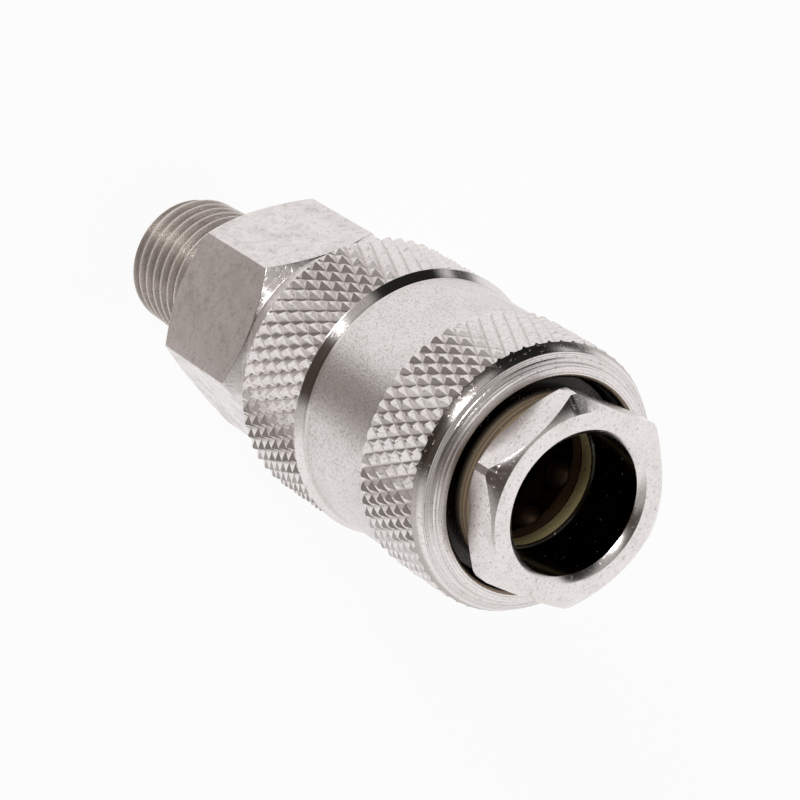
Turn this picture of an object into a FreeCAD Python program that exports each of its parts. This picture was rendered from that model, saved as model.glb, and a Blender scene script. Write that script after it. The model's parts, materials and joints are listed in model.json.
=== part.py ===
import FreeCAD, Part
import math
import os

os.makedirs("parts", exist_ok=True)
doc = FreeCAD.newDocument("QuickCoupling")
sheet = doc.addObject("Spreadsheet::Sheet", "Sizes")

# Every independent size in millimetres. Depths are measured back from the nose face.
SIZES = [
    ("total_len", 63.0),
    ("over", 1.0),
    ("thread_rad", 6.58),
    ("thread_len", 13.1),
    ("thread_bevel", 0.5),
    ("thread_pitch", 1.337),
    ("thread_taper", 0.03),
    ("air_rad", 4.2),
    ("rear_hex_flats", 19.0),
    ("rear_hex_len", 13.0),
    ("rear_face_rad", 9.0),
    ("rear_bevel_slope", 0.8),
    ("fore_face_rad", 8.76),
    ("fore_bevel_slope", 0.68),
    ("boss_wall", 1.3),
    ("boss_cover", 2.0),
    ("socket_deep", 5.0),
    ("tube_rad", 8.1),
    ("gasket_thick", 0.5),
    ("gasket_wide", 1.3),
    ("gasket_play", 0.1),
    ("nose_hex_flats", 17.0),
    ("nose_hex_len", 3.4),
    ("nose_turn", 25.0),
    ("nose_face_rad", 8.3),
    ("nose_bevel_slope", 0.84),
    ("nose_back_rad", 9.3),
    ("nose_back_bevel", 0.4),
    ("mouth_rad", 6.25),
    ("mouth_bevel", 0.28),
    ("mouth_deep", 6.5),
    ("step_rad", 6.09),
    ("step_len", 0.75),
    ("guide_rad", 5.83),
    ("ball_rad", 1.6),
    ("ball_deep", 10.5),
    ("ball_play", 0.01),
    ("pocket_rad", 1.7),
    ("pocket_throat_rad", 1.342),
    ("pocket_throat_in", 0.53),
    ("pocket_shoulder", 0.05),
    ("packing_deep", 14.5),
    ("packing_len", 2.5),
    ("packing_rad", 6.9),
    ("packing_bore", 4.3),
    ("packing_lip", 0.7),
    ("port_rad", 4.5),
    ("port_len", 2.5),
    ("chamber_rad", 6.6),
    ("clip_deep", 7.3),
    ("clip_thick", 1.0),
    ("clip_play", 0.04),
    ("clip_groove_deep", 0.4),
    ("clip_wide", 1.3),
    ("clip_gap", 3.0),
    ("sleeve_deep", 4.85),
    ("sleeve_gap", 3.4),
    ("sleeve_play", 0.06),
    ("grip_rad", 12.25),
    ("waist_rad", 11.65),
    ("fore_grip_rad", 12.05),
    ("fore_rim_rad", 10.5),
    ("fore_rim_len", 1.65),
    ("fore_grip_len", 7.7),
    ("knurl_floor", 0.05),
    ("knurl_proud", 0.1),
    ("waist_len", 9.2),
    ("ramp_len", 0.8),
    ("rear_rim_rad", 11.5),
    ("rear_rim_len", 0.8),
    ("recess_deep", 1.2),
    ("recess_flare", 0.3),
    ("recess_bevel", 0.5),
    ("cam_slope", 0.34),
    ("cam_foot_deep", 10.85),
    ("land_end_deep", 16.0),
    ("cavity_play", 0.5),
    ("washer_thick", 0.3),
    ("washer_play", 0.2),
    ("return_wire", 1.4),
    ("return_play", 0.4),
    ("return_turns", 5.5),
    ("valve_tip_rad", 3.2),
    ("valve_tip_deep", 16.0),
    ("valve_neck_rad", 4.7),
    ("valve_neck_deep", 20.3),
    ("flange_rad", 6.45),
    ("flange_flats", 11.3),
    ("flange_len", 1.65),
    ("valve_tail_rad", 3.0),
    ("valve_tail_len", 4.6),
    ("oring_wire", 0.6),
    ("valve_wire", 0.9),
    ("valve_mean_rad", 5.0),
    ("valve_turns", 6.5),
]
for row, (alias, value) in enumerate(SIZES, start=1):
    sheet.set("A%d" % row, alias)
    sheet.set("B%d" % row, str(value))
    sheet.setAlias("B%d" % row, alias)
doc.recompute()

BALL_COUNT = 8
BALL_STEP = 360.0 / BALL_COUNT
KNURL_STARTS = 60
KNURL_ROWS = 6
# Depth of the pipe thread and circumradius of its groove's triangle, as shares of the pitch.
THREAD_DEPTH = 0.64
THREAD_VEE = 0.56


def size(text):
    """Write a formula of size names as an expression on the sheet."""
    out = []
    for word in text.split():
        out.append("Sizes." + word if word[0].isalpha() and "(" not in word else word)
    return " ".join(out)


def bind(item, **formulas):
    for prop, text in formulas.items():
        item.setExpression(prop.replace("__", "."), size(text))
    return item


def cylinder(name, radius, height, low):
    item = doc.addObject("Part::Cylinder", name)
    return bind(item, Radius=radius, Height=height, Placement__Base__z=low)


def cone(name, low_radius, high_radius, height, low):
    item = doc.addObject("Part::Cone", name)
    return bind(item, Radius1=low_radius, Radius2=high_radius, Height=height, Placement__Base__z=low)


def hexagon(name, flats, height, low):
    item = doc.addObject("Part::Prism", name)
    item.Polygon = 6
    item.setExpression("Circumradius", "Sizes.%s / 2 / cos(30 deg)" % flats)
    return bind(item, Height=height, Placement__Base__z=low)


def fuse(name, *items):
    item = doc.addObject("Part::MultiFuse", name)
    item.Shapes = list(items)
    item.Refine = True
    return item


def common(name, *items):
    item = doc.addObject("Part::MultiCommon", name)
    item.Shapes = list(items)
    return item


def cut(name, base, tool):
    item = doc.addObject("Part::Cut", name)
    item.Base = base
    item.Tool = tool
    item.Refine = True
    return item


def spring(name, mean, wire, turns, low, high):
    """A round-wire compression spring with both ends ground flat."""
    length = "( %s - ( %s ) )" % (high, low)
    start = "%s - %s / 5" % (low, wire)
    rise = "( %s + %s * 2 / 5 )" % (length, wire)
    path = doc.addObject("Part::Helix", name + "_path")
    bind(path, Radius=mean, Height=rise, Pitch="%s / %s" % (rise, turns), Placement__Base__z=start)
    ring = doc.addObject("Part::Circle", name + "_wire")
    bind(ring, Radius=wire + " / 2", Placement__Base__x=mean, Placement__Base__z=start)
    ring.Placement.Rotation = FreeCAD.Rotation(FreeCAD.Vector(1, 0, 0), 90)
    coil = doc.addObject("Part::Sweep", name + "_coil")
    coil.Sections = [ring]
    coil.Spine = path
    coil.Solid = True
    coil.Frenet = True
    slab = cylinder(name + "_slab", mean + " + 2 * " + wire, length, low)
    return common(name, coil, slab)


def knurl(name, crest, height, low):
    """A grip band of pressed pyramids, with the valleys just above the waist of the sleeve."""
    band = cylinder(name + "_band", crest, height, low)
    doc.recompute()
    floor = sheet.waist_rad + sheet.knurl_floor
    columns = 2 * KNURL_STARTS

    def corner(column, row):
        radius = floor if (column + row) % 2 else band.Radius.Value
        angle = math.pi * column / KNURL_STARTS
        rise = band.Placement.Base.z + band.Height.Value * row / KNURL_ROWS
        return FreeCAD.Vector(radius * math.cos(angle), radius * math.sin(angle), rise)

    faces = []
    for row in range(KNURL_ROWS):
        for column in range(columns):
            ring = [corner(column, row), corner(column + 1, row),
                    corner(column + 1, row + 1), corner(column, row + 1)]
            if (column + row) % 2 == 0:
                ring = ring[1:] + ring[:1]
            for flank in (ring[:3], ring[2:] + ring[:1]):
                faces.append(Part.Face(Part.makePolygon(flank + flank[:1])))
    for row in (0, KNURL_ROWS):
        faces.append(Part.Face(Part.makePolygon([corner(column, row) for column in range(columns + 1)])))
    shell = Part.Compound(faces)
    shell.sewShape()
    item = doc.addObject("Part::Feature", name)
    item.Shape = Part.Solid(shell.Shells[0])
    return item


def thread_groove(name, crest, pitch, length):
    """The spiral groove of a pipe thread, from one turn below its end to just inside the hexagon."""
    root = "%s - %s * %s" % (crest, THREAD_DEPTH, pitch)
    path = doc.addObject("Part::Helix", name + "_path")
    bind(path, Radius=root, Pitch=pitch, Height="%s + 1.25 * %s" % (length, pitch),
         Placement__Base__z="- " + pitch)
    vee = doc.addObject("Part::RegularPolygon", name + "_vee")
    vee.Polygon = 3
    vee.Placement.Rotation = FreeCAD.Rotation(180, 0, 90)
    bind(vee, Circumradius="%s * %s" % (THREAD_VEE, pitch),
         Placement__Base__x="%s + %s * %s" % (root, THREAD_VEE, pitch), Placement__Base__z="- " + pitch)
    groove = doc.addObject("Part::Sweep", name)
    groove.Sections = [vee]
    groove.Spine = path
    groove.Solid = True
    groove.Frenet = True
    return groove


# The rear adapter: tapered pipe thread, spanner hexagon and screwed boss.
hex_top = "thread_len + rear_hex_len"
boss_top = hex_top + " + sleeve_gap + boss_cover"
socket_floor = boss_top + " - socket_deep"
thread_end_rad = "thread_rad - thread_taper * ( thread_len - thread_bevel )"
thread_tip = cone("thread_tip", thread_end_rad + " - thread_bevel", thread_end_rad, "thread_bevel", "0")
thread_stub = cone("thread_stub", thread_end_rad, "thread_rad + thread_taper * over",
                   "thread_len - thread_bevel + over", "thread_bevel")
thread = cut("thread", fuse("thread_blank", thread_tip, thread_stub),
             thread_groove("thread_groove", "thread_rad", "thread_pitch", "thread_len"))
rear_prism = hexagon("rear_prism", "rear_hex_flats", "rear_hex_len", "thread_len")
low_turn = cone("rear_hex_low", "rear_face_rad", "rear_face_rad + rear_hex_len / 2 / rear_bevel_slope",
                "rear_hex_len / 2", "thread_len")
high_turn = cone("rear_hex_high", "fore_face_rad + rear_hex_len / 2 / fore_bevel_slope", "fore_face_rad",
                 "rear_hex_len / 2", "thread_len + rear_hex_len / 2")
rear_hex = common("rear_hex", rear_prism, fuse("rear_hex_turned", low_turn, high_turn))
boss = cylinder("boss", "tube_rad + boss_wall", "sleeve_gap + boss_cover + over", hex_top + " - over")
adapter_solid = fuse("adapter_solid", thread, rear_hex, boss)
air_way = cylinder("air_way", "air_rad", boss_top + " + 2 * over", "- over")
tube_socket = cylinder("tube_socket", "tube_rad", "socket_deep + over", socket_floor)
adapter = cut("rear_adapter", adapter_solid, fuse("adapter_bores", air_way, tube_socket))

# The socket body: nose hexagon and tube, bored from the mouth down to the valve chamber.
tube_low = socket_floor + " + gasket_thick"
nose_low = "total_len - nose_hex_len"
nose_prism = hexagon("nose_prism", "nose_hex_flats", "nose_hex_len", nose_low)
bind(nose_prism, Placement__Rotation__Angle="nose_turn")
nose_high = cone("nose_high", "nose_face_rad + nose_hex_len / 2 / nose_bevel_slope", "nose_face_rad",
                 "nose_hex_len / 2", "total_len - nose_hex_len / 2")
nose_back = cone("nose_back", "nose_back_rad", "nose_back_rad + nose_hex_len / 2 / nose_back_bevel",
                 "nose_hex_len / 2", nose_low)
nose_hex = common("nose_hex", nose_prism, fuse("nose_turned", nose_high, nose_back))
tube = cylinder("tube", "tube_rad", "total_len - over - ( %s )" % tube_low, tube_low)
body_solid = fuse("body_solid", nose_hex, tube)
mouth = cylinder("mouth", "mouth_rad", "mouth_deep + over", "total_len - mouth_deep")
mouth_edge = cone("mouth_edge", "mouth_rad", "mouth_rad + mouth_bevel", "mouth_bevel",
                  "total_len - mouth_bevel")
step = cone("step", "guide_rad", "step_rad", "step_len", "total_len - mouth_deep - step_len")
guide = cylinder("guide", "guide_rad", "packing_deep - mouth_deep", "total_len - packing_deep")
packing_seat = "total_len - packing_deep - packing_len"
groove = cylinder("packing_groove", "packing_rad", "packing_len", packing_seat)
port = cylinder("port", "port_rad", "port_len + over", packing_seat + " - port_len")
seat_len = "( chamber_rad - port_rad )"
seat_low = packing_seat + " - port_len - " + seat_len
seat = cone("valve_seat", "chamber_rad", "port_rad", seat_len, seat_low)
chamber = cylinder("chamber", "chamber_rad", seat_low + " - ( %s ) + over" % tube_low, tube_low + " - over")
clip_low = "total_len - clip_deep - clip_thick"
clip_seat_rad = "tube_rad - clip_groove_deep"
clip_outer = cylinder("clip_outer", "tube_rad + over", "clip_thick + clip_play", clip_low)
clip_inner = cylinder("clip_inner", clip_seat_rad, "clip_thick + clip_play", clip_low)
clip_groove = cut("clip_groove", clip_outer, clip_inner)
tools = [mouth, mouth_edge, step, guide, groove, port, seat, chamber]

# The pockets stand where the balls touch the land of the sleeve.
land_rad = "tube_rad + sleeve_play"
ball_ring_rad = "( %s - ball_play - ball_rad )" % land_rad
shoulder_at = "( %s - pocket_shoulder )" % ball_ring_rad
throat_at = "( guide_rad - pocket_throat_in )"
pockets = []
for index in range(BALL_COUNT):
    angle = math.radians(index * BALL_STEP)
    turn = FreeCAD.Rotation(FreeCAD.Vector(0, 0, 1), FreeCAD.Vector(math.cos(angle), math.sin(angle), 0))
    throat = doc.addObject("Part::Cone", "pocket_throat_%d" % (index + 1))
    throat.Placement.Rotation = turn
    bind(throat, Radius1="pocket_throat_rad", Radius2="pocket_rad",
         Height="%s - %s" % (shoulder_at, throat_at),
         Placement__Base__x="%s * %.9f" % (throat_at, math.cos(angle)),
         Placement__Base__y="%s * %.9f" % (throat_at, math.sin(angle)),
         Placement__Base__z="total_len - ball_deep")
    barrel = doc.addObject("Part::Cylinder", "pocket_barrel_%d" % (index + 1))
    barrel.Placement.Rotation = turn
    bind(barrel, Radius="pocket_rad", Height="tube_rad + over - " + shoulder_at,
         Placement__Base__x="%s * %.9f" % (shoulder_at, math.cos(angle)),
         Placement__Base__y="%s * %.9f" % (shoulder_at, math.sin(angle)),
         Placement__Base__z="total_len - ball_deep")
    pockets += [throat, barrel]
bored = cut("body_bored", body_solid, fuse("body_bores", *tools))
grooved = cut("body_grooved", bored, clip_groove)
body = cut("socket_body", grooved, fuse("ball_pockets", *pockets))

# The locking balls, one in each pocket, held in by the sleeve.
balls = []
for index in range(BALL_COUNT):
    angle = math.radians(index * BALL_STEP)
    ball = doc.addObject("Part::Sphere", "lock_ball_%d" % (index + 1))
    bind(ball, Radius="ball_rad",
         Placement__Base__x="%s * %.9f" % (ball_ring_rad, math.cos(angle)),
         Placement__Base__y="%s * %.9f" % (ball_ring_rad, math.sin(angle)),
         Placement__Base__z="total_len - ball_deep")
    balls.append(ball)

# The stop clip in the tube's groove, open on one side.
clip_rad = clip_seat_rad + " + clip_wide"
clip_ring = cylinder("clip_ring", clip_rad, "clip_thick", clip_low)
clip_bore = cylinder("clip_bore", clip_seat_rad, "clip_thick + 2 * over", clip_low + " - over")
clip_slot = doc.addObject("Part::Box", "clip_slot")
bind(clip_slot, Length="2 * ( %s )" % clip_rad, Width="clip_gap", Height="clip_thick + 2 * over",
     Placement__Base__y="- clip_gap / 2", Placement__Base__z=clip_low + " - over")
clip = cut("stop_ring", clip_ring, fuse("clip_opening", clip_bore, clip_slot))

# The sliding sleeve: two grip bands with a waist, and a cam over the balls inside.
sleeve_top = "total_len - sleeve_deep"
sleeve_low = hex_top + " + sleeve_gap"
grip_high = sleeve_top + " - fore_rim_len"
waist_high = grip_high + " - fore_grip_len"
ramp_high = waist_high + " - waist_len"
ramp_low = ramp_high + " - ramp_len"
rear_grip_low = sleeve_low + " + rear_rim_len"
fore_rim = cone("fore_rim", "fore_grip_rad - knurl_proud", "fore_rim_rad", "fore_rim_len", grip_high)
fore_grip = knurl("fore_grip", "fore_grip_rad", "fore_grip_len", waist_high)
waist = cylinder("waist", "waist_rad", "waist_len", ramp_high)
ramp = cone("ramp", "grip_rad - knurl_proud", "waist_rad", "ramp_len", ramp_low)
rear_grip = knurl("rear_grip", "grip_rad", "%s - ( %s )" % (ramp_low, rear_grip_low), rear_grip_low)
rear_rim = cone("rear_rim", "rear_rim_rad", "grip_rad - knurl_proud", "rear_rim_len", sleeve_low)
sleeve_solid = fuse("sleeve_solid", fore_rim, fore_grip, waist, ramp, rear_grip, rear_rim)
recess_rad = "tube_rad + recess_deep"
cam_len = "( recess_deep - sleeve_play ) / cam_slope"
cam_low = "total_len - cam_foot_deep"
recess = cylinder("recess", recess_rad, "%s - ( %s + %s ) + over" % (sleeve_top, cam_low, cam_len),
                  "%s + %s" % (cam_low, cam_len))
recess_edge = cone("recess_edge", recess_rad, recess_rad + " + recess_flare", "recess_bevel",
                   sleeve_top + " - recess_bevel")
cam = cone("cam", land_rad, recess_rad, cam_len, cam_low)
land = cylinder("land", land_rad, "land_end_deep - cam_foot_deep + over", "total_len - land_end_deep - over")
return_mean_rad = "( tube_rad + return_play + return_wire / 2 )"
cavity_rad = return_mean_rad + " + return_wire / 2 + cavity_play"
cavity = cylinder("cavity", cavity_rad, "total_len - land_end_deep - ( %s ) + over" % sleeve_low,
                  sleeve_low + " - over")
sleeve_void = fuse("sleeve_void", recess, recess_edge, cam, land, cavity)
sleeve = cut("sleeve", sleeve_solid, sleeve_void)

# The return spring of the sleeve and the washer it stands on.
washer_ring = cylinder("washer_ring", cavity_rad + " - washer_play", "washer_thick", boss_top)
washer_hole = cylinder("washer_hole", land_rad, "washer_thick + 2 * over", boss_top + " - over")
washer = cut("spring_seat", washer_ring, washer_hole)
sleeve_spring = spring("sleeve_spring", return_mean_rad, "return_wire", "return_turns",
                       boss_top + " + washer_thick", "total_len - land_end_deep")

# The packing for the plug, with a lip groove in its front.
packing_ring = cylinder("packing_ring", "packing_rad", "packing_len", packing_seat)
packing_hole = cylinder("packing_hole", "packing_bore", "packing_len + 2 * over", packing_seat + " - over")
packing_vee = doc.addObject("Part::Torus", "packing_vee")
bind(packing_vee, Radius1="( packing_rad + packing_bore ) / 2", Radius2="packing_lip",
     Placement__Base__z=packing_seat + " + packing_len")
packing = cut("plug_packing", packing_ring, fuse("packing_cuts", packing_hole, packing_vee))

# The gasket between the tube's end and the adapter.
gasket_rad = "tube_rad - gasket_play"
gasket_ring = cylinder("gasket_ring", gasket_rad, "gasket_thick", socket_floor)
gasket_hole = cylinder("gasket_hole", gasket_rad + " - gasket_wide", "gasket_thick + 2 * over",
                       socket_floor + " - over")
gasket = cut("joint_seal", gasket_ring, gasket_hole)

# The check valve: poppet, its seal ring against the conical seat, and its spring.
oring_rad = "valve_neck_rad + oring_wire"
oring_at = "%s + chamber_rad - ( %s ) - oring_wire * sqrt(2)" % (seat_low, oring_rad)
flange_top = oring_at + " - oring_wire"
flange_low = flange_top + " - flange_len"
tip_top = "total_len - valve_tip_deep"
neck_top = "total_len - valve_neck_deep"
valve_tip = cylinder("valve_tip", "valve_tip_rad", "%s - ( %s ) + over" % (tip_top, neck_top),
                     neck_top + " - over")
valve_neck = cylinder("valve_neck", "valve_neck_rad", "%s - ( %s )" % (neck_top, flange_top), flange_top)
flange_disc = cylinder("flange_disc", "flange_rad", "flange_len", flange_low)
flange_square = doc.addObject("Part::Box", "flange_square")
bind(flange_square, Length="flange_flats", Width="flange_flats", Height="flange_len",
     Placement__Base__x="- flange_flats / 2", Placement__Base__y="- flange_flats / 2",
     Placement__Base__z=flange_low)
valve_flange = common("valve_flange", flange_disc, flange_square)
valve_tail = cylinder("valve_tail", "valve_tail_rad", "valve_tail_len + over / 2",
                      flange_low + " - valve_tail_len")
poppet = fuse("valve_poppet", valve_tip, valve_neck, valve_flange, valve_tail)
oring = doc.addObject("Part::Torus", "valve_seal_ring")
bind(oring, Radius1=oring_rad, Radius2="oring_wire", Placement__Base__z=oring_at)
valve_spring = spring("valve_spring", "valve_mean_rad", "valve_wire", "valve_turns",
                      socket_floor, flange_low)

doc.recompute()

nodes = [adapter, body, clip, sleeve, washer, sleeve_spring, packing, gasket, poppet, oring, valve_spring]
nodes += balls
for item in doc.Objects:
    if "Invalid" in item.State or "Error" in item.State:
        raise RuntimeError("%s did not build: %s" % (item.Name, item.State))
for node in nodes:
    shape = node.Shape
    if shape.isNull() or not shape.isValid():
        raise RuntimeError("%s has a bad shape" % node.Name)
    node.Label = node.Name
    print("%-16s solids %d  volume %.1f" % (node.Label, len(shape.Solids), shape.Volume))
    shape.exportStep(os.path.join("parts", node.Label + ".step"))
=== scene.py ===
# %% [markdown]
# A quick coupling is a socket that a plug snaps into. Its pieces come ready to scale from the
# CAD model, standing on the thread. Here the three pieces that show are turned again with what
# a turner adds last: a knurl, a cut thread, broken edges and a plated skin. The two springs are
# wound again too.

# %% Load the coupling
import json
import math
import bpy
from mathutils import Matrix, Vector


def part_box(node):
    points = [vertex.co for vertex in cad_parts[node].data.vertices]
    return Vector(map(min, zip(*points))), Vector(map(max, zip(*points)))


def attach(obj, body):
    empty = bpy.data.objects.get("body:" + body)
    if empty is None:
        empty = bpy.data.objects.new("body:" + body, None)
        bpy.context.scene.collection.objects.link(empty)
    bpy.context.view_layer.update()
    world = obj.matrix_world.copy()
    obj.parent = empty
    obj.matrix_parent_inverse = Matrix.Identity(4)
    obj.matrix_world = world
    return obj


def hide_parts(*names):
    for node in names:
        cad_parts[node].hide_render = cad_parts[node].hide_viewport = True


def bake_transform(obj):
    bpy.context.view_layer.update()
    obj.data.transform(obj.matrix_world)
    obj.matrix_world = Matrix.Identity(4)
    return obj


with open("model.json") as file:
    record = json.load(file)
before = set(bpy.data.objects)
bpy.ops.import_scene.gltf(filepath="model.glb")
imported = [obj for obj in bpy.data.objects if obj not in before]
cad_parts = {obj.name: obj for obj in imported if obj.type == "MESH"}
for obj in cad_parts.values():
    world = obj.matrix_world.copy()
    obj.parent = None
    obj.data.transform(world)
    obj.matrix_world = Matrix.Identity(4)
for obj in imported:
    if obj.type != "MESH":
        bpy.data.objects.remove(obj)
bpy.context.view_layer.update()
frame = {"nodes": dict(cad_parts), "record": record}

# %% [markdown]
# Blender counts in metres and a turner in millimetres. Sizes are written in millimetres here,
# and multiplied by MM where they go into Blender. The heights at which the pieces begin and
# end are read from the boxes of the CAD nodes, so what is turned here sits where they are.

# %% Heights from the CAD boxes
MM = 0.001


def bottom_of(node):
    return round(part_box(node)[0][2] / MM, 3)


def top_of(node):
    return round(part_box(node)[1][2] / MM, 3)


LENGTH = top_of("socket_body")
TUBE_FOOT = bottom_of("socket_body")
SLEEVE_FOOT = bottom_of("sleeve")
SLEEVE_TOP = top_of("sleeve")
BOSS_TOP = top_of("rear_adapter")
SOCKET_FLOOR = bottom_of("joint_seal")
PACKING_FOOT = bottom_of("plug_packing")
PACKING_TOP = top_of("plug_packing")
CLIP_FOOT = bottom_of("stop_ring")
BALL_HEIGHT = (bottom_of("lock_ball_1") + top_of("lock_ball_1")) / 2
print("length", LENGTH, "tube from", TUBE_FOOT, "sleeve from", SLEEVE_FOOT, "to", SLEEVE_TOP)
print("boss to", BOSS_TOP, "over", SOCKET_FLOOR, "packing", PACKING_FOOT, "to", PACKING_TOP)
print("clip at", CLIP_FOOT, "balls at", BALL_HEIGHT)

# %% [markdown]
# Round pieces are made as on a lathe. The Screw modifier could turn an outline in one go, but
# extruding shows each step: a circle is the first edge, and every further point of the outline
# is one extrusion, moved along the axis and scaled to its radius. Joining the last ring to the
# first closes the ring of metal. The circle starts a little turned, so that none of its corners
# lies exactly on an edge of a cutter.

# %% A lathe of extruded circles
START_TURN = 0.0131


def put_down():
    if bpy.context.mode != "OBJECT":
        bpy.ops.object.mode_set(mode="OBJECT")
    bpy.ops.object.select_all(action="DESELECT")


def pick_up(piece):
    put_down()
    piece.select_set(True)
    bpy.context.view_layer.objects.active = piece


def turned(name, outline, sides):
    put_down()
    radius, height = outline[0]
    bpy.ops.mesh.primitive_circle_add(vertices=sides, radius=radius * MM,
                                      location=(0, 0, height * MM), rotation=(0, 0, START_TURN))
    piece = bpy.context.object
    piece.name = piece.data.name = name
    bpy.ops.object.transform_apply(location=True, rotation=True, scale=True)
    bpy.ops.object.mode_set(mode="EDIT")
    bpy.ops.mesh.select_all(action="SELECT")
    for (radius, height), (wider, higher) in zip(outline, outline[1:]):
        bpy.ops.mesh.extrude_edges_move(
            TRANSFORM_OT_translate={"value": (0, 0, (higher - height) * MM)})
        bpy.ops.transform.resize(value=(wider / radius, wider / radius, 1),
                                 center_override=(0, 0, 0))
    bpy.ops.mesh.select_all(action="DESELECT")
    bpy.ops.mesh.select_non_manifold()
    bpy.ops.mesh.bridge_edge_loops()
    bpy.ops.mesh.select_all(action="SELECT")
    bpy.ops.mesh.normals_make_consistent(inside=False)
    bpy.ops.object.mode_set(mode="OBJECT")
    print(name, "turned with", len(piece.data.polygons), "faces")
    return piece

# %% [markdown]
# The sleeve is the piece that the hand pulls back. From the rear it has a rounded rim, a grip
# band, a polished cone down to the waist and a step up to the second band. An outline is a list
# of radius and height. It is easiest to read when the heights are counted from one face, so a
# small helper sets the points on that face.

# %% Rear outline of the sleeve
def at(height, *points):
    return [(radius, round(height + rise, 3)) for radius, rise in points]


GRIP = 12.25
FORE_GRIP = 12.05
WAIST = 11.65
CAVITY = 10.40
rear_rim = at(SLEEVE_FOOT, (CAVITY, 0.35), (10.62, 0), (11.15, 0), (11.50, 0.06), (11.86, 0.30),
              (12.12, 0.62), (GRIP, 1.00))
polished_cone = at(SLEEVE_FOOT, (GRIP, 9.27), (WAIST, 10.10))
fore_step = at(SLEEVE_FOOT, (WAIST, 19.12), (11.72, 19.22), (12.00, 19.36), (FORE_GRIP, 19.46))
rear_half = rear_rim + polished_cone + fore_step
print("the sleeve's rear outline has", len(rear_half), "points")

# %% [markdown]
# The front rim carries the marks of the turning tool, so its outline has many small steps.
# Inside are the recess that lets the balls out, the land that holds them in and the cavity of
# the spring. The whole sleeve is one turning.

# %% Turn the sleeve
SLEEVE_SIDES = 192
RECESS = 9.30
LAND = 8.16
front_chamfer = at(SLEEVE_TOP, (FORE_GRIP, -2.08), (11.44, -0.99))
bright_ring = at(SLEEVE_TOP, (11.37, -0.91), (11.33, -0.90), (10.98, -0.73))
tool_marks = at(SLEEVE_TOP, (10.95, -0.76), (10.90, -0.69), (10.62, -0.55), (10.58, -0.49),
                (10.54, -0.35), (10.48, -0.31), (10.42, -0.29), (10.37, -0.12), (10.30, -0.05),
                (10.18, -0.01))
front_face = at(SLEEVE_TOP, (10.08, 0), (9.74, 0), (9.63, -0.07), (9.34, -0.45), (RECESS, -0.55))
ball_cam = at(SLEEVE_FOOT, (RECESS, 26.00), (LAND, 22.65))
spring_stop = at(SLEEVE_FOOT, (LAND, 17.60), (8.26, 17.50), (CAVITY, 17.50))
front_rim = front_chamfer + bright_ring + tool_marks + front_face
sleeve = turned("sleeve_shell", rear_half + front_rim + ball_cam + spring_stop, SLEEVE_SIDES)

# %% [markdown]
# What a tool takes off is a Boolean modifier with the tool as its object. It is applied at
# once, and the tool is put away.

# %% Cutting one piece with another
def cut_with(piece, cutter):
    pick_up(piece)
    tool = piece.modifiers.new("cut", "BOOLEAN")
    tool.operation = "DIFFERENCE"
    tool.solver = "EXACT"
    tool.object = cutter
    bpy.ops.object.modifier_apply(modifier="cut")
    bpy.data.objects.remove(cutter)
    print(piece.name, "has", len(piece.data.polygons), "faces after the cut")

# %% [markdown]
# A knurl is pressed in by a wheel with the pattern turned inside out. A bump in the material
# would look flat at the edge, so the wheel is built: one four-sided cone is set with its point
# outwards, spun round the axis and repeated in rows that are half a step apart. Two spare rows
# at each end make the pattern run out by itself. The rows are merged, closed to a ring and
# trimmed where the band ends.

# %% The knurling ring
STARTS = 60
ROWS = 6
SPARE_ROWS = 2
VALLEY = 11.70
RING_WIDENING = 1.16
MERGE = 0.05
HALF_STEP = math.pi / STARTS


def knurl_ring(name, band, length, point, end):
    pitch = length / ROWS
    low = band - SPARE_ROWS * pitch
    middle = (VALLEY + point) / 2 * MM
    ring = None
    put_down()
    for row in range(ROWS + 2 * SPARE_ROWS):
        turn = HALF_STEP * (row % 2)
        bpy.ops.mesh.primitive_cone_add(
            vertices=4, radius1=1, radius2=0, depth=1, end_fill_type="NOTHING",
            location=(middle * math.cos(turn), middle * math.sin(turn), (low + row * pitch) * MM),
            rotation=(0, math.pi / 2, turn),
            scale=(pitch * MM, VALLEY * math.tan(HALF_STEP) * MM, (point - VALLEY) * MM))
        if ring is None:
            ring = bpy.context.object
            ring.name = name
            bpy.ops.object.transform_apply(location=True, rotation=True, scale=True)
            bpy.ops.object.mode_set(mode="EDIT")
            bpy.ops.mesh.select_all(action="SELECT")
        bpy.ops.mesh.spin(steps=STARTS - 1, dupli=True, center=(0, 0, 0), axis=(0, 0, 1),
                          angle=2 * math.pi * (STARTS - 1) / STARTS)
        bpy.ops.mesh.select_all(action="DESELECT")
    bpy.ops.mesh.select_all(action="SELECT")
    bpy.ops.mesh.remove_doubles(threshold=MERGE * MM)
    bpy.ops.mesh.select_all(action="DESELECT")
    bpy.ops.mesh.select_non_manifold()
    bpy.ops.mesh.extrude_edges_move()
    bpy.ops.transform.resize(value=(RING_WIDENING, RING_WIDENING, 1), center_override=(0, 0, 0))
    bpy.ops.mesh.bridge_edge_loops()
    bpy.ops.mesh.select_all(action="SELECT")
    bpy.ops.mesh.normals_make_consistent(inside=False)
    bpy.ops.mesh.bisect(plane_co=(0, 0, end * MM), plane_no=(0, 0, 1), use_fill=True,
                        clear_outer=True)
    bpy.ops.object.mode_set(mode="OBJECT")
    print(name, "has", len(ring.data.polygons), "faces")
    return ring

# %% [markdown]
# The two bands get rings of their own, because they differ a little in length and in radius.

# %% Knurl both bands
cut_with(sleeve, knurl_ring("rear_knurl", band=30.3, length=8.5, point=12.29, end=38.86))
cut_with(sleeve, knurl_ring("fore_knurl", band=48.8, length=7.7, point=12.14, end=56.32))

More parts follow.
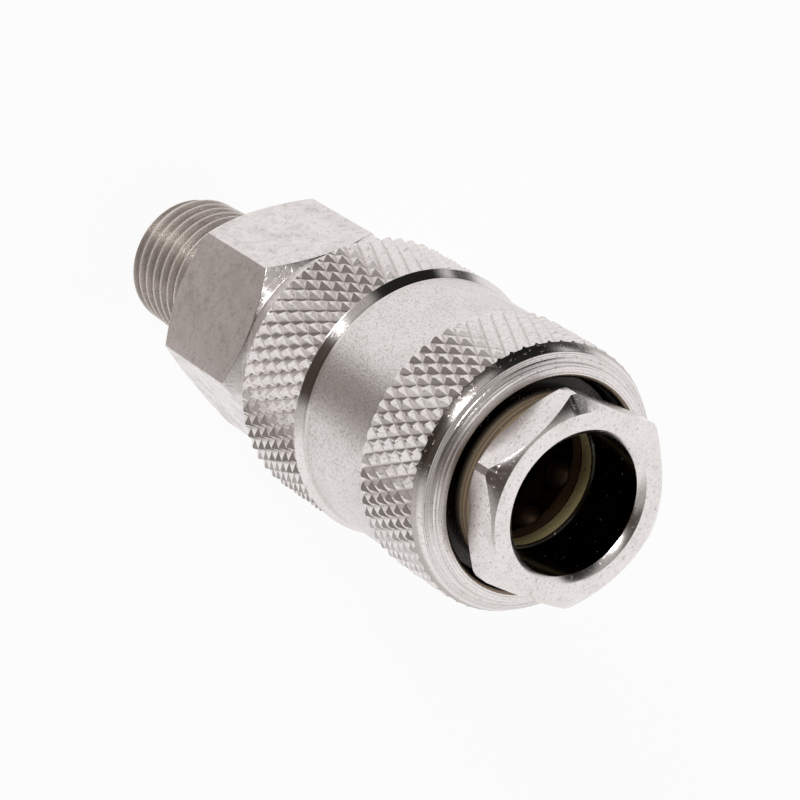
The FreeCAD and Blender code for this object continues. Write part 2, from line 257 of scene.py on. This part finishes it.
# %% [markdown]
# A hexagon on a turned piece is milled: six flats are cut from a round collar, and the turned
# chamfers leave the curved arcs at each corner. Starting from a six-sided cylinder would lose
# those arcs. So the cutter is a hexagonal hole in a thick plate, and what lies outside the
# hole goes. Last, a narrow bevel breaks the sharp edges, which then catch the light.

# %% The milling frame
PLATE_WIDENING = 1.6
SHARP = math.radians(25)


def hexagon_frame(name, across, low, high, turn):
    put_down()
    bpy.ops.mesh.primitive_circle_add(vertices=6, radius=across / math.sqrt(3) * MM,
                                      location=(0, 0, low * MM),
                                      rotation=(0, 0, turn + math.pi / 2))
    plate = bpy.context.object
    plate.name = name
    bpy.ops.object.transform_apply(location=True, rotation=True, scale=True)
    bpy.ops.object.mode_set(mode="EDIT")
    bpy.ops.mesh.select_all(action="SELECT")
    bpy.ops.mesh.extrude_edges_move()
    bpy.ops.transform.resize(value=(PLATE_WIDENING, PLATE_WIDENING, 1), center_override=(0, 0, 0))
    bpy.ops.mesh.select_all(action="SELECT")
    bpy.ops.mesh.extrude_region_move(
        TRANSFORM_OT_translate={"value": (0, 0, (high - low) * MM)})
    bpy.ops.mesh.select_all(action="SELECT")
    bpy.ops.mesh.normals_make_consistent(inside=False)
    bpy.ops.object.mode_set(mode="OBJECT")
    print(name, "is", across, "mm across flats")
    return plate


def break_edges(piece, width):
    pick_up(piece)
    bevel = piece.modifiers.new("broken_edges", "BEVEL")
    bevel.width = width * MM
    bevel.segments = 2
    bevel.limit_method = "ANGLE"
    bevel.angle_limit = SHARP
    bpy.ops.object.modifier_apply(modifier="broken_edges")
    print(piece.name, "has", len(piece.data.polygons), "faces with broken edges")

# %% [markdown]
# The rear adapter screws into the pipe or tool. It is a collar with the spanner flats, a stub
# for the thread and a boss that goes into the sleeve and takes the tube. The stub is a little
# tapered, as pipe threads are.

# %% Turn and mill the adapter
ADAPTER_SIDES = 128
SPANNER = 19.0
COLLAR = 11.50
BOSS = 9.40
TUBE = 8.10
CREST = 6.58
AIR_WAY = 4.20
THREAD_LENGTH = 13.10
stub = [(4.40, 0), (5.70, 0), (6.20, 0.50), (CREST, THREAD_LENGTH)]
collar = at(THREAD_LENGTH, (9.00, 0), (COLLAR, 2.00), (COLLAR, 11.137), (BOSS, 12.565))
boss = at(BOSS_TOP, (BOSS, -0.20), (9.20, 0), (TUBE, 0))
bore = [(TUBE, SOCKET_FLOOR), (AIR_WAY, SOCKET_FLOOR), (AIR_WAY, 0.20)]
adapter = turned("adapter_shell", stub + collar + boss + bore, ADAPTER_SIDES)
cut_with(adapter, hexagon_frame("spanner_flats", SPANNER, low=12.0, high=27.0, turn=0.0))
break_edges(adapter, width=0.06)

# %% [markdown]
# A thread is one long spiral groove. A stack of rings would be easier, but rings don't climb.
# The groove's section is drawn once as a plane stood on edge: narrow at the root, and opened to
# a vee by widening the two corners outside. Only its rim is kept.

# %% Draw the section of the groove
PITCH = 1.337
ROOT = 5.724
OUTSIDE = 6.75
ROOT_WIDTH = 0.06
VEE_OPENING = 20.7
put_down()
half_way = (ROOT + OUTSIDE) / 2 * MM
bpy.ops.mesh.primitive_plane_add(size=1, rotation=(math.pi / 2, 0, 0),
                                 location=(half_way, 0, -PITCH * MM))
groove = bpy.context.object
groove.name = "thread_groove"
groove.scale = ((OUTSIDE - ROOT) * MM, ROOT_WIDTH * MM, 1)
bpy.ops.object.transform_apply(location=True, rotation=True, scale=True)
for corner in groove.data.vertices:
    corner.select = corner.co.x > half_way
bpy.ops.object.mode_set(mode="EDIT")
bpy.ops.transform.resize(value=(1, 1, VEE_OPENING), center_override=(0, 0, -PITCH * MM))
bpy.ops.mesh.select_all(action="SELECT")
bpy.ops.mesh.delete(type="ONLY_FACE")
bpy.ops.object.mode_set(mode="OBJECT")
print("groove", ROOT_WIDTH, "mm wide at the root and", ROOT_WIDTH * VEE_OPENING, "outside")

# %% [markdown]
# The Screw modifier sweeps the section round the axis while it climbs by the pitch. Filling
# both ends makes it a solid that can be cut from the stub. The groove keeps one root radius,
# so it gets shallower towards the thin end of the stub.

# %% Sweep and cut the thread
THREAD_TURNS = 11
STEPS_PER_TURN = 96
spiral = groove.modifiers.new("spiral", "SCREW")
spiral.screw_offset = PITCH * MM
spiral.iterations = THREAD_TURNS
spiral.steps = STEPS_PER_TURN
spiral.use_merge_vertices = False
bpy.ops.object.modifier_apply(modifier="spiral")
bpy.ops.object.mode_set(mode="EDIT")
bpy.ops.mesh.select_all(action="SELECT")
bpy.ops.mesh.fill_holes(sides=4)
bpy.ops.mesh.select_all(action="SELECT")
bpy.ops.mesh.normals_make_consistent(inside=False)
bpy.ops.object.mode_set(mode="OBJECT")
cut_with(adapter, groove)

# %% [markdown]
# The body carries the nose hexagon and the long tube behind it. From the mouth inwards the bore
# has a chamfer, a small step that guides the plug, the narrower guide, the groove of the
# packing, the port and the valve's chamber. Outside, a groove takes the clip that stops the
# sleeve.

# %% Turn and mill the body
BODY_SIDES = 160
NOSE_SPANNER = 17.0
NOSE_TURN = math.radians(25.0)
NOSE = 9.64
CLIP_SEAT = 7.70
PACKING = 6.90
CHAMBER = 6.60
MOUTH = 6.25
GUIDE = 5.83
PORT = 4.50
nose = at(LENGTH, (8.30, 0), (NOSE, -1.13), (NOSE, -2.63), (8.75, -3.40), (TUBE, -3.40))
clip_groove = at(CLIP_FOOT, (TUBE, 1.04), (CLIP_SEAT, 1.04), (CLIP_SEAT, 0), (TUBE, 0))
tube_end = [(TUBE, TUBE_FOOT), (CHAMBER, TUBE_FOOT)]
valve_seat = at(PACKING_FOOT, (CHAMBER, -4.60), (PORT, -2.50), (PORT, 0), (PACKING, 0))
guide = [(PACKING, PACKING_TOP), (GUIDE, PACKING_TOP)]
step = at(LENGTH, (GUIDE, -7.30), (6.09, -6.55), (MOUTH, -6.45))
mouth = at(LENGTH, (MOUTH, -0.58), (6.31, -0.50), (6.72, -0.05), (6.80, 0))
body = turned("body_shell", nose + clip_groove + tube_end + valve_seat + guide + step + mouth,
              BODY_SIDES)
cut_with(body, hexagon_frame("nose_flats", NOSE_SPANNER, low=59.0, high=64.0, turn=NOSE_TURN))
break_edges(body, width=0.05)

# %% [markdown]
# Eight round pockets through the tube hold the locking balls. One drill is set at the height
# of the balls and spun round the axis, and all eight holes are cut at once.

# %% Drill the ball pockets
BALLS = 8
POCKET = 1.70
DRILL_LENGTH = 4.6
DRILL_MIDDLE = 7.2
put_down()
bpy.ops.mesh.primitive_cylinder_add(vertices=48, radius=POCKET * MM, depth=DRILL_LENGTH * MM,
                                    location=(DRILL_MIDDLE * MM, 0, BALL_HEIGHT * MM),
                                    rotation=(0, math.pi / 2, 0))
drills = bpy.context.object
drills.name = "pocket_drills"
bpy.ops.object.transform_apply(location=True, rotation=True, scale=True)
bpy.ops.object.mode_set(mode="EDIT")
bpy.ops.mesh.select_all(action="SELECT")
bpy.ops.mesh.spin(steps=BALLS - 1, dupli=True, center=(0, 0, 0), axis=(0, 0, 1),
                  angle=2 * math.pi * (BALLS - 1) / BALLS)
bpy.ops.object.mode_set(mode="OBJECT")
cut_with(body, drills)

# %% [markdown]
# A compression spring is one wire, wound and then ground flat at both ends. A curve with a
# round bevel would give the wire, but a mesh can be ground as well. A small circle is swept up
# the axis by the Screw modifier, a little past both ends, and two bisections with a fill do the
# grinding.

# %% A winder for springs
WIRE_SIDES = 16
STEPS_PER_COIL = 40
GROUND_SHARE = 0.2
FLAT_ANGLE = math.radians(28)


def wound(name, wire, turns, node):
    low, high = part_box(node)
    mean = high[0] - wire / 2 * MM
    ground = wire * GROUND_SHARE * MM
    put_down()
    bpy.ops.mesh.primitive_circle_add(vertices=WIRE_SIDES, radius=wire / 2 * MM,
                                      rotation=(math.pi / 2, 0, 0),
                                      location=(mean, 0, low[2] - ground))
    piece = bpy.context.object
    piece.name = piece.data.name = name
    bpy.ops.object.transform_apply(location=True, rotation=True, scale=True)
    wind = piece.modifiers.new("wind", "SCREW")
    wind.angle = 2 * math.pi * turns
    wind.screw_offset = high[2] - low[2] + 2 * ground
    wind.iterations = 1
    wind.steps = wind.render_steps = int(turns * STEPS_PER_COIL)
    bpy.ops.object.modifier_apply(modifier="wind")
    bpy.ops.object.mode_set(mode="EDIT")
    bpy.ops.mesh.select_all(action="SELECT")
    bpy.ops.mesh.fill_holes(sides=WIRE_SIDES)
    for height, side in ((low[2], -1), (high[2], 1)):
        bpy.ops.mesh.select_all(action="SELECT")
        bpy.ops.mesh.bisect(plane_co=(0, 0, height), plane_no=(0, 0, side), use_fill=True,
                            clear_outer=True)
    bpy.ops.mesh.select_all(action="SELECT")
    bpy.ops.mesh.normals_make_consistent(inside=False)
    bpy.ops.object.mode_set(mode="OBJECT")
    bpy.ops.object.shade_smooth_by_angle(angle=FLAT_ANGLE)
    print(name, "wound with", len(piece.data.polygons), "faces")
    return piece

# %% [markdown]
# The big spring pushes the sleeve forward and the small one closes the valve. Each is wound in
# the place of its CAD node, which is hidden.

# %% Wind both springs
springs = {}
for node, wire, turns, mover in (("sleeve_spring", 1.4, 5.5, "sleeve"),
                                 ("valve_spring", 0.9, 6.5, "valve")):
    springs[node] = wound(node + "_coil", wire, turns, node)
    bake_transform(springs[node])
    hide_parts(node)

# %% [markdown]
# Now the three turned pieces take the places of their CAD nodes. Smooth shading hides the
# facets of the round faces, real edges stay sharp by their angle, and the Weighted Normal
# modifier keeps the flats from looking bulged beside their narrow bevels.

# %% Ride on the bodies
for piece, mover, node in ((sleeve, "sleeve", "sleeve"), (adapter, "socket", "rear_adapter"),
                           (body, "socket", "socket_body")):
    pick_up(piece)
    bpy.ops.object.shade_smooth_by_angle(angle=FLAT_ANGLE)
    even = piece.modifiers.new("even_flats", "WEIGHTED_NORMAL")
    even.keep_sharp = True
    bpy.ops.object.modifier_apply(modifier="even_flats")
    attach(piece, mover)
    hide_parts(node)
    print(piece.name, "rides on", mover, "in place of", node)

# %% [markdown]
# The plated skin is all procedural. A material is a net of nodes, and long formulas are easier
# to read as sums than as links, so a small class stands for one value in the net and turns
# plus, minus and times into Math nodes.

# %% Values that add their own nodes
class Wire:
    def __init__(self, tree, socket=None):
        self.tree = tree
        self.socket = socket

    def node(self, kind, feeds, output=0, **settings):
        made = self.tree.nodes.new("ShaderNode" + kind)
        for name, setting in settings.items():
            setattr(made, name, setting)
        for place, value in feeds.items():
            if isinstance(value, Wire):
                self.tree.links.new(value.socket, made.inputs[place])
            else:
                made.inputs[place].default_value = value
        return Wire(self.tree, made.outputs[output])

    def math(self, operation, first, second):
        return self.node("Math", {0: first, 1: second}, operation=operation)

    def __add__(self, other):
        return self.math("ADD", self, other)

    def __sub__(self, other):
        return self.math("SUBTRACT", self, other)

    def __rsub__(self, other):
        return self.math("SUBTRACT", other, self)

    def __mul__(self, other):
        return self.math("MULTIPLY", self, other)

    __radd__ = __add__
    __rmul__ = __mul__

    def rise(self, low, high):
        return self.node("MapRange", {0: self, 1: low, 2: high}, interpolation_type="SMOOTHSTEP")

    def band(self, low, high, soft):
        return self.rise(low - soft, low + soft) * (1 - self.rise(high - soft, high + soft))

    def mix(self, plain, other):
        return self.node("Mix", {0: self, 6: plain, 7: other}, output=2, data_type="RGBA")

    def vector(self, operation, other=(0, 0, 0), output=0):
        return self.node("VectorMath", {0: self, 1: other}, output=output, operation=operation)

# %% [markdown]
# Every skin starts from the point in the piece's own space. The radius and the height above
# the thread's end, both in millimetres, tell which turned face a point lies on. Noise at several
# sizes gives clouds, pits and grain, and noise along one value only gives turning lines.

# %% Where a point lies and what noise it gets
class Skin:
    def __init__(self, name):
        self.material = bpy.data.materials.new(name)
        self.material.use_nodes = True
        self.tree = self.material.node_tree
        self.shader = self.tree.nodes["Principled BSDF"]
        place = Wire(self.tree).node("TexCoord", {}, output=3)
        self.mm = place.vector("MULTIPLY", (1 / MM, 1 / MM, 1 / MM))
        self.z = self.mm.node("SeparateXYZ", {0: self.mm}, output=2)
        self.radius = self.mm.vector("MULTIPLY", (1, 1, 0)).vector("LENGTH", output=1)

    def noise(self, per_mm, detail=3.0, rough=0.55):
        return self.mm.node("TexNoise", {"Vector": self.mm, "Scale": per_mm, "Detail": detail,
                                         "Roughness": rough})

    def lines(self, along, per_mm, detail=4.0):
        return along.node("TexNoise", {"W": along, "Scale": per_mm, "Detail": detail},
                          noise_dimensions="1D")

    def bump(self, height, depth_mm, strength):
        return self.mm.node("Bump", {"Height": height, "Distance": depth_mm * MM,
                                     "Strength": strength})

    def finish(self, **feeds):
        for name, value in feeds.items():
            socket = self.shader.inputs[name.replace("_", " ").title()]
            if isinstance(value, Wire):
                self.tree.links.new(value.socket, socket)
            else:
                socket.default_value = value
        print(self.material.name, "has", len(self.tree.nodes), "nodes")
        return self.material

# %% [markdown]
# Nickel on a steel turning is bright and slightly warm. It goes dull where it is worn, and bronze
# or brass coloured where it is thin. The nearly black colour is painted shade for bores and
# cavities, and the dark brown one is painted shade for the tube under the sleeve. These colours
# are shared by all the plated pieces.

# %% Colours of the plating
def colour(red, green, blue):
    return (red, green, blue, 1.0)


WHITE = colour(1, 1, 1)
NICKEL = colour(0.81, 0.765, 0.755)
BRIGHT_NICKEL = colour(0.95, 0.90, 0.87)
DULL = colour(0.50, 0.455, 0.43)
INNER_SHADE = colour(0.045, 0.040, 0.034)
BRONZE = colour(0.58, 0.43, 0.28)
BRASS = colour(0.92, 0.77, 0.40)
TUBE_SHADE = colour(0.10, 0.075, 0.05)
RUST = colour(0.26, 0.17, 0.10)
DUST = colour(0.75, 0.72, 0.68)
print("nickel", NICKEL, "worn to", DULL)

# %% [markdown]
# Dust under the body's plating left tiny pits, and handling left soft clouds. The bore is painted
# nearly black as painted shade, with the brass coloured step just behind the mouth and a brown
# lip below it. Where the sleeve shades the tube, it is painted dark brown as painted shade, and
# next to the hexagon a bronze strip with turning lines is painted as lit and fades deeper in.
# Depth is counted back from the nose face.

# %% Body plating
def body_skin():
    skin = Skin("body_plate")
    clouds = skin.noise(0.35, 4.0).rise(0.35, 0.75)
    pits = skin.noise(2.6).rise(0.60, 0.68)
    grain = skin.noise(4.5, rough=0.7)
    specks = skin.noise(3.2, 1.0).rise(0.73, 0.77)
    rings = skin.lines(skin.radius, 9.0)
    turns = skin.lines(skin.z, 2.5).rise(0.35, 0.65)
    depth = LENGTH - skin.z
    inside = 1 - skin.radius.rise(MOUTH + 0.02, MOUTH + 0.06)
    bore = inside * depth.rise(0.58, 0.70)
    step = depth.band(6.70, 7.75, 0.04) * inside
    lip = (depth - grain * 0.5).band(7.6, 8.8, 0.1) * inside
    tube = depth.rise(3.38, 3.55) * skin.radius.rise(7.0, 7.4)
    strip = tube * (1 - depth.rise(4.8, 6.2))
    tint = (clouds * 0.2 + pits * 0.5 + grain.rise(0.45, 0.7) * 0.4).mix(NICKEL, DULL)
    # Painted shade: the tube deep in the gap under the sleeve goes dark brown.
    tint = (tube * 0.9).mix(tint, TUBE_SHADE)
    # Painted light: the bronze strip next to the hexagon fades out deeper in the gap; its turning
    # lines are real.
    tint = (strip * (0.25 + 0.65 * turns)).mix(tint, BRONZE)
    # Painted shade: the bore goes nearly black.
    tint = bore.mix(tint, INNER_SHADE)
    tint = (lip * 0.8).mix(tint, RUST)
    tint = (step * (0.75 + 0.25 * rings)).mix(tint, BRASS)
    dust = specks * (tube + bore * 0.4) * (1 - step)
    tint = dust.mix(tint, DUST)
    height = (grain * 0.35 + rings * 0.25 - pits * 0.9) * (1 - bore * 0.9)
    return skin.finish(base_color=tint, metallic=1 - dust - strip * 0.75 - step * 0.6 - lip * 0.6,
                       roughness=0.15 + clouds * 0.08 * (1 - bore) + grain * 0.06 + step * 0.1,
                       normal=skin.bump(height, 0.012, 0.6))


skins = {"body_plate": body_skin()}

# %% [markdown]
# The sleeve's waist was blasted before plating, so it is covered with fine grain. The knurl's
# valleys are painted darker, the cone and the chamfer are polished, and the front rim shows the
# lines of the turning tool. The inside of the sleeve is painted nearly black as painted shade.
# Heights are counted from the sleeve's foot.

# %% Sleeve plating
GRAIN_SHADE = colour(0.40, 0.36, 0.33)
TOOL_LINE = colour(0.24, 0.21, 0.18)
VALLEY_DARK = colour(0.30, 0.26, 0.22)


def sleeve_skin():
    skin = Skin("sleeve_plate")
    clouds = skin.noise(0.3, 4.0).rise(0.35, 0.75)
    pits = skin.noise(2.6).rise(0.61, 0.69)
    grain = skin.noise(4.5, rough=0.7)
    lines = skin.lines(skin.radius + 0.6 * skin.z, 11.0, 5.0)
    along = skin.z - SLEEVE_FOOT
    waist = along.band(10.40, 18.95, 0.15) * skin.radius.rise(11.0, 11.2)
    polished = along.band(9.34, 10.10, 0.03)
    rim = along.rise(26.6, 26.7) * skin.radius.rise(RECESS - 0.05, RECESS + 0.05)
    chamfer = rim * skin.radius.rise(11.36, 11.42)
    in_valley = (1 - skin.radius.rise(11.68, 11.84)) * skin.radius.rise(11.66, 11.68)
    darker_valleys = in_valley * (1 - waist)
    hidden = 1 - skin.radius.rise(9.45, 9.6)
    tint = (clouds * 0.15 + pits * 0.45 + grain.rise(0.45, 0.7) * 0.35).mix(NICKEL, DULL)
    tint = (waist * grain.rise(0.50, 0.66) * 0.45).mix(tint, GRAIN_SHADE)
    tint = (rim * lines.rise(0.5, 0.75) * 0.7).mix(tint, TOOL_LINE)
    # The knurl's valleys are painted darker.
    tint = (darker_valleys * 0.3).mix(tint, VALLEY_DARK)
    # Painted shade: the inside of the sleeve goes nearly black.
    tint = hidden.mix(tint, INNER_SHADE)
    height = grain * (0.3 + waist * 2.0) + lines * rim * (1.1 - chamfer * 0.9) - pits * 0.6
    height = height * (1 - polished * 0.9)
    shine = polished * 0.1 + chamfer * 0.07
    return skin.finish(base_color=tint, metallic=1.0,
                       roughness=0.17 + waist * 0.1 + clouds * 0.06 + grain * 0.06 - shine,
                       normal=skin.bump(height, 0.018, 0.8))


skins["sleeve_plate"] = sleeve_skin()

# %% [markdown]
# The adapter's flats are duller and mottled by handling. The thread's groove is painted a darker
# brown and its crests lighter. The crests follow the taper, so the taper is taken off the radius
# before asking how far out a point lies.

# %% Adapter plating
TAPER = 0.03
GROOVE_BROWN = colour(0.42, 0.36, 0.29)


def adapter_skin():
    skin = Skin("adapter_plate")
    clouds = skin.noise(0.55, 5.0).rise(0.38, 0.7)
    spots = skin.noise(1.6, 4.0, 0.7).rise(0.48, 0.72)
    pits = skin.noise(2.6).rise(0.60, 0.68)
    grain = skin.noise(4.5, rough=0.7)
    lines = skin.lines(skin.z, 7.0)
    thread = 1 - skin.z.rise(THREAD_LENGTH - 0.2, THREAD_LENGTH)
    groove = thread * (1 - skin.radius.rise(5.72, 6.00))
    crest = thread * (skin.radius - TAPER * skin.z).rise(5.98, 6.12)
    wear = clouds * 0.3 + spots * 0.5 + pits * 0.4 + grain.rise(0.45, 0.7) * 0.2
    tint = wear.mix(NICKEL, DULL)
    tint = (thread * lines.rise(0.45, 0.7) * 0.08).mix(tint, BRONZE)
    # The groove is painted a darker brown and the crests a lighter nickel.
    tint = (groove * 0.5).mix(tint, GROOVE_BROWN)
    tint = (crest * 0.8).mix(tint, BRIGHT_NICKEL)
    height = (grain * 0.5 + spots * 0.9 - pits * 0.8) * (1 - thread * 0.7)
    return skin.finish(base_color=tint, metallic=1 - thread * 0.25 - crest * 0.35,
                       roughness=0.22 + clouds * 0.12 + spots * 0.08,
                       normal=skin.bump(height, 0.014, 0.7))


skins["adapter_plate"] = adapter_skin()

# %% [markdown]
# The inner pieces are hardly seen, but each has its own stuff: a black spring clip, drawn wire,
# rubber and turned brass. The steel balls are painted dark brown as painted shade, as they sit
# deep in their pockets. All share one recipe of grain and turning lines between a light and a
# dark colour.

# %% Inner pieces
def inner_skin(name, light, dark, metallic, roughness, per_mm, depth_mm):
    skin = Skin(name)
    grain = skin.noise(per_mm, 4.0)
    lines = skin.lines(skin.z, 6.0)
    tint = (grain.rise(0.35, 0.75) * 0.7 + lines * 0.3).mix(light, dark)
    skins[name] = skin.finish(base_color=tint, metallic=metallic, roughness=roughness + grain * 0.15,
                              normal=skin.bump(grain + lines * 0.6, depth_mm, 0.6))


inner_skin("clip_steel", light=colour(0.09, 0.085, 0.08), dark=colour(0.04, 0.037, 0.035),
           metallic=1.0, roughness=0.3, per_mm=6, depth_mm=0.01)
inner_skin("spring_wire", light=colour(0.55, 0.53, 0.50), dark=colour(0.36, 0.34, 0.31),
           metallic=1.0, roughness=0.25, per_mm=5, depth_mm=0.01)
# Painted shade: the steel balls are painted dark brown, as they sit deep in the pocket.
inner_skin("ball_steel", light=colour(0.12, 0.075, 0.045), dark=colour(0.06, 0.035, 0.02),
           metallic=0.7, roughness=0.3, per_mm=4, depth_mm=0.004)
inner_skin("seal_rubber", light=colour(0.10, 0.05, 0.03), dark=colour(0.05, 0.026, 0.017),
           metallic=0.0, roughness=0.4, per_mm=5, depth_mm=0.02)
inner_skin("valve_brass", light=colour(0.50, 0.24, 0.10), dark=colour(0.26, 0.11, 0.05),
           metallic=0.5, roughness=0.3, per_mm=4, depth_mm=0.01)

# %% [markdown]
# A CAD node keeps its mesh and only gets the skin that its record names. The pieces made here
# get theirs the same way.

# %% Dress the pieces
def dress(piece, slot):
    piece.data.materials.clear()
    piece.data.materials.append(skins[slot])


for subpart in frame["record"]["subparts"]:
    dress(frame["nodes"][subpart["node"]], subpart["material_slot"])
dress(sleeve, "sleeve_plate")
dress(adapter, "adapter_plate")
dress(body, "body_plate")
for spring in springs.values():
    dress(spring, "spring_wire")
print(len(skins), "skins on", len(frame["nodes"]), "nodes")

# %% [markdown]
# The coupling lay tilted when it was photographed. Instead of tilting it, the camera is tilted:
# these three directions are the camera's right, its up and the way back to it, written in the
# frame of the standing coupling. The studio and the lamp are placed by them too.

# %% Directions of the camera
AXIS = Vector((0, 0, 1))
side_a = Vector((-0.9677, 0.2521, 0))
side_b = Vector((-0.2521, -0.9677, 0))
right = 0.5391 * side_a - 0.6424 * side_b + 0.5448 * AXIS
up = 0.8423 * side_a + 0.4112 * side_b - 0.3487 * AXIS
back = 0.6469 * side_b + 0.7627 * AXIS
print("the camera looks along", tuple(round(-part, 3) for part in back))

# %% [markdown]
# Metal shows what stands round it. In a product photograph that is a white sweep on all sides
# with the dark room and the photographer behind the camera, and it is the dark that draws the
# edges. Two dark cards and a dark strip at the horizon shade the sides. The camera itself sees
# only white.

# %% The studio round the coupling
ROOM_GREY = colour(0.45, 0.435, 0.42)
COAT = colour(0.070, 0.056, 0.046)
STRIP = colour(0.085, 0.072, 0.062)
LEFT_CARD = colour(0.060, 0.048, 0.038)
FAR_CARD = colour(0.018, 0.017, 0.016)
world = bpy.data.worlds.new("studio")
bpy.context.scene.world = world
world.use_nodes = True
studio = Wire(world.node_tree)
ray = studio.node("TexCoord", {}, output=3).vector("NORMALIZE")


def towards(direction):
    return ray.vector("DOT_PRODUCT", tuple(direction.normalized()), output=1)


room = towards(back).rise(0.30, 0.75)
photographer = towards(back - 0.20 * up).rise(0.905, 0.965)
horizon = towards(AXIS).band(-0.05, 0.19, 0.05)
horizon = horizon * towards(Vector((-0.68, -0.73, 0))).rise(0.42, 0.56)
left_card = towards(-0.55 * right + 0.03 * up + 0.83 * back).rise(0.87, 0.96)
far_card = towards(Vector((-0.95, -0.02, 0.25))).rise(0.84, 0.94)
sweep = room.mix(WHITE, ROOM_GREY)
sweep = photographer.mix(sweep, COAT)
sweep = horizon.mix(sweep, STRIP)
sweep = left_card.mix(sweep, LEFT_CARD)
sweep = far_card.mix(sweep, FAR_CARD)
sweep = studio.node("LightPath", {}).mix(sweep, WHITE)
backdrop = world.node_tree.nodes["Background"]
world.node_tree.links.new(sweep.socket, backdrop.inputs["Color"])
print("the studio has", len(world.node_tree.nodes), "nodes")

# %% [markdown]
# The floor is white paper, rough enough to keep a soft shadow under the thread.

# %% Floor
put_down()
bpy.ops.mesh.primitive_plane_add(size=3.0, location=(0, 0, 0))
floor = bpy.context.object
floor.name = "floor"
paper = Skin("paper")
fibres = paper.noise(0.8, 4.0)
paper.finish(base_color=fibres.mix(colour(0.93, 0.93, 0.93), colour(0.90, 0.90, 0.90)),
             roughness=0.8)
floor.data.materials.append(paper.material)

# %% [markdown]
# What the flanks of the metal mirror lies mostly on the floor, so the dark things of the studio
# go on there: an aisle towards the photographer, a card on the right, the strip at the horizon
# and the far end. The floor shows them to the metal only. The camera sees it white.

# %% What the metal sees of the floor
AISLE_NEAR = colour(0.46, 0.42, 0.40)
AISLE_FAR = colour(0.20, 0.175, 0.155)
FLOOR_CARD = colour(0.22, 0.19, 0.165)
FAR_END = colour(0.02, 0.02, 0.02)
GLOW = 0.92
way = paper.mm.vector("NORMALIZE")


def beside(x, y):
    return way.vector("DOT_PRODUCT", (x, y, 0), output=1)


aisle = beside(0.1045, -0.9945).rise(0.86, 0.975)
card = 1 - paper.mm.vector("DISTANCE", (80, -70, 0), output=1).rise(24, 38)
strip = beside(-0.68, -0.73).rise(0.42, 0.56) * paper.radius.rise(300, 500)
far_end = beside(-0.97, 0.23).rise(0.80, 0.92) * paper.radius.rise(150, 350)
shown = aisle.mix(WHITE, paper.radius.rise(18, 55).mix(AISLE_NEAR, AISLE_FAR))
shown = card.mix(shown, FLOOR_CARD)
shown = (strip * 0.9).mix(shown, STRIP)
shown = far_end.mix(shown, FAR_END)
seen = Wire(paper.tree).node("LightPath", {})
mirrored = Wire(paper.tree, seen.socket.node.outputs["Is Glossy Ray"])
through = Wire(paper.tree, seen.socket.node.outputs["Is Transmission Ray"])
glow = seen.node("Emission", {0: seen.mix(shown, WHITE)})
plain = Wire(paper.tree, paper.shader.outputs[0])
lit = seen.node("MixShader", {0: (seen + mirrored + through) * GLOW, 1: plain, 2: glow})
paper.tree.links.new(lit.socket, paper.tree.nodes["Material Output"].inputs[0])
print("the floor has", len(paper.tree.nodes), "nodes")

# %% [markdown]
# One round lamp hangs above and behind the camera, a little to its left. It is weak, because
# most of the light comes from the white studio, and it is aimed near the front of the coupling.

# %% Lamp
LAMP_AWAY = 0.45
LAMP_AIM = Vector((0, 0, 0.05))
lamp_way = (-0.16 * right + 0.38 * up + 0.91 * back).normalized()
put_down()
bpy.ops.object.light_add(type="AREA", location=tuple(lamp_way * LAMP_AWAY + LAMP_AIM))
lamp = bpy.context.object
lamp.name = "lamp"
lamp.data.shape = "DISK"
lamp.data.size = 0.13
lamp.data.energy = 0.8
lamp.rotation_euler = lamp_way.to_track_quat("Z", "Y").to_euler()
print("lamp at", tuple(round(part, 3) for part in lamp.location))

# %% [markdown]
# The camera looks into the mouth from above with a long lens, as product photographs do. Its
# place is counted from the middle of the nose face.

# %% Camera
NOSE_FACE = Vector((0, 0, LENGTH))
CAMERA_LEFT = 14.49
CAMERA_HIGH = 8.72
CAMERA_AWAY = 307.85
LENS = 171
place = (NOSE_FACE - CAMERA_LEFT * right + CAMERA_HIGH * up + CAMERA_AWAY * back) * MM
put_down()
bpy.ops.object.camera_add()
camera = bpy.context.object
camera.matrix_world = Matrix((
    (right.x, up.x, back.x, place.x), (right.y, up.y, back.y, place.y),
    (right.z, up.z, back.z, place.z), (0, 0, 0, 1)))
camera.data.lens = LENS
camera.data.sensor_width = 36
camera.data.clip_start = 0.01
bpy.context.scene.camera = camera
bpy.context.scene.view_settings.view_transform = "Standard"
print("camera at", tuple(round(part, 3) for part in place))
